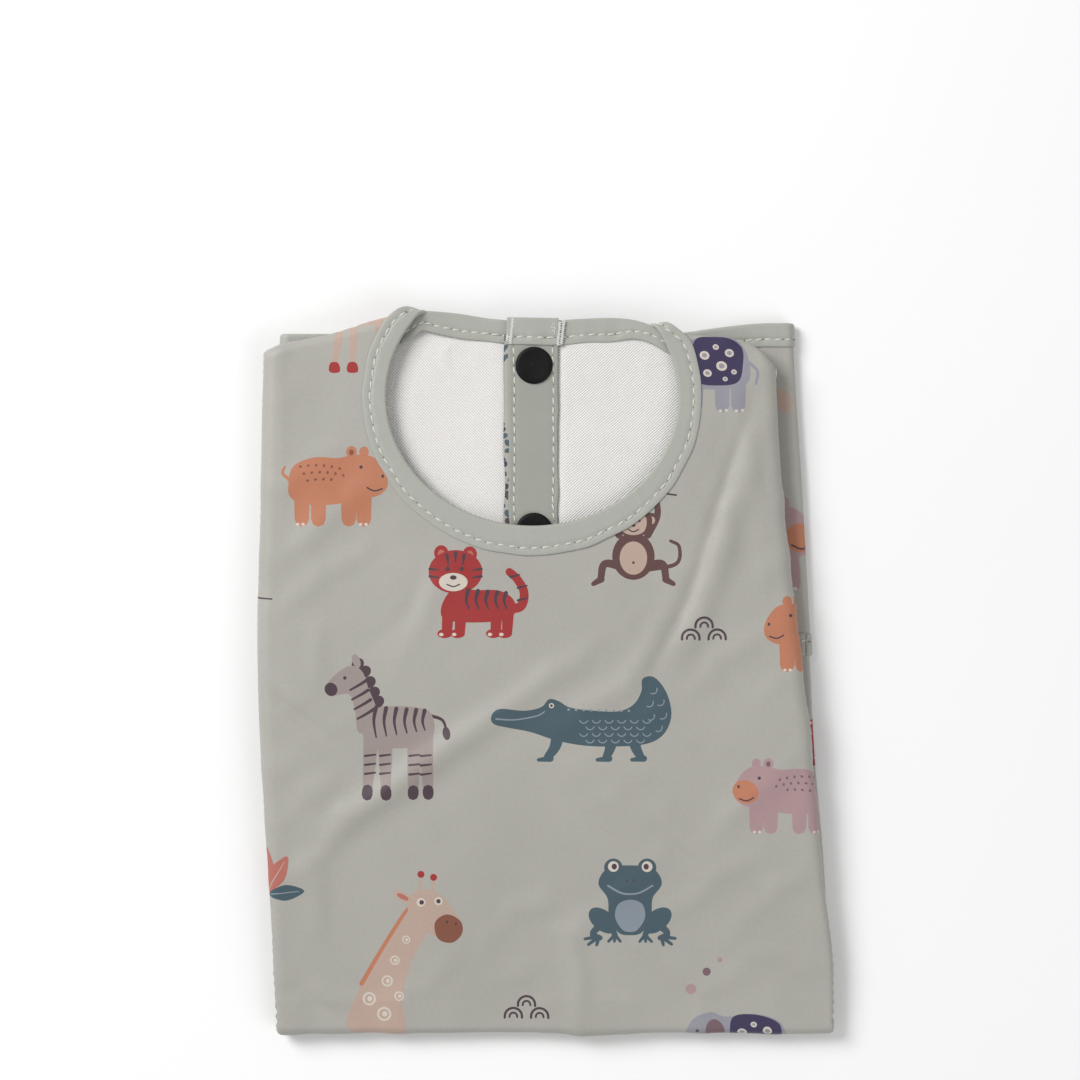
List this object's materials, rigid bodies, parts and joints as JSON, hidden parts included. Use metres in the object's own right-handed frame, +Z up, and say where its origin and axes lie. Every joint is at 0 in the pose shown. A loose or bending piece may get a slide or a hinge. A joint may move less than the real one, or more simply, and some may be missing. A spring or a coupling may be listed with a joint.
{
  "type": "smock bib",
  "caption": "Short-sleeved smock bib of coated fabric with a crumb pocket and a back snap closure, stored folded flat, with its front up and its lower half turned up behind.",
  "frame": {"origin": "bottom centre of the folded pack, on the surface it lies on", "axes": "+Z up, out of the front; +Y towards the neck; +X to the right when looking down on the front"},
  "size_m": [0.192, 0.2421, 0.0134],
  "materials": {
    "printed_fabric": "coated, satin",
    "binding": "coated, satin",
    "lining": "fine twill",
    "label": "woven satin",
    "thread": "satin thread",
    "snap_plastic": "matte black"
  },
  "bodies": {
    "upper_half": {"front_panel_upper": "printed_fabric", "neck_binding_front": "binding", "side_binding_upper": "binding", "back_panel_left": "lining", "back_panel_right": "lining", "neck_binding_back_left": "binding", "neck_binding_back_right": "binding", "placket_lower": "binding", "placket_bend": "binding", "sleeve_left": "printed_fabric", "sleeve_right": "printed_fabric", "cuff_binding_left": "binding", "cuff_binding_right": "binding", "snap_lower_inner_cap": "snap_plastic", "snap_lower_stud": "snap_plastic", "snap_lower_socket": "snap_plastic", "snap_lower_outer_cap": "snap_plastic", "snap_upper_socket": "snap_plastic", "snap_upper_outer_cap": "snap_plastic", "bartack_right": "thread", "front_fold_bend": "printed_fabric", "side_fold_bend": "printed_fabric"},
    "closure_flap": {"placket_flap": "binding", "neck_binding_tab": "binding", "snap_upper_inner_cap": "snap_plastic", "snap_upper_stud": "snap_plastic", "bartack_left": "thread"},
    "lower_half": {"front_panel_lower": "printed_fabric", "hem_binding": "binding", "pocket_side_left": "printed_fabric", "pocket_side_right": "printed_fabric", "pocket_binding_left": "binding", "pocket_binding_right": "binding", "side_label": "label"},
    "pocket": {"pocket_centre": "printed_fabric", "pocket_binding_centre": "binding"}
  },
  "joints": [
    {"name": "lower_half_fold", "type": "hinge", "parent": "upper_half", "child": "lower_half", "pos_m": [0, -0.1204, 0.00435], "axis": [-1, 0, 0], "range_deg": [0, 180], "deforming": ["front_fold_bend", "side_fold_bend"]},
    {"name": "neck_closure", "type": "hinge", "parent": "upper_half", "child": "closure_flap", "pos_m": [0.0035, 0.1, 0.0102], "axis": [0, 1, 0], "range_deg": [0, 120], "deforming": ["placket_bend"]},
    {"name": "pocket_gape", "type": "hinge", "parent": "lower_half", "child": "pocket", "pos_m": [0, 0.1102, 0.00105], "axis": [1, 0, 0], "range_deg": [0, 15]}
  ]
}
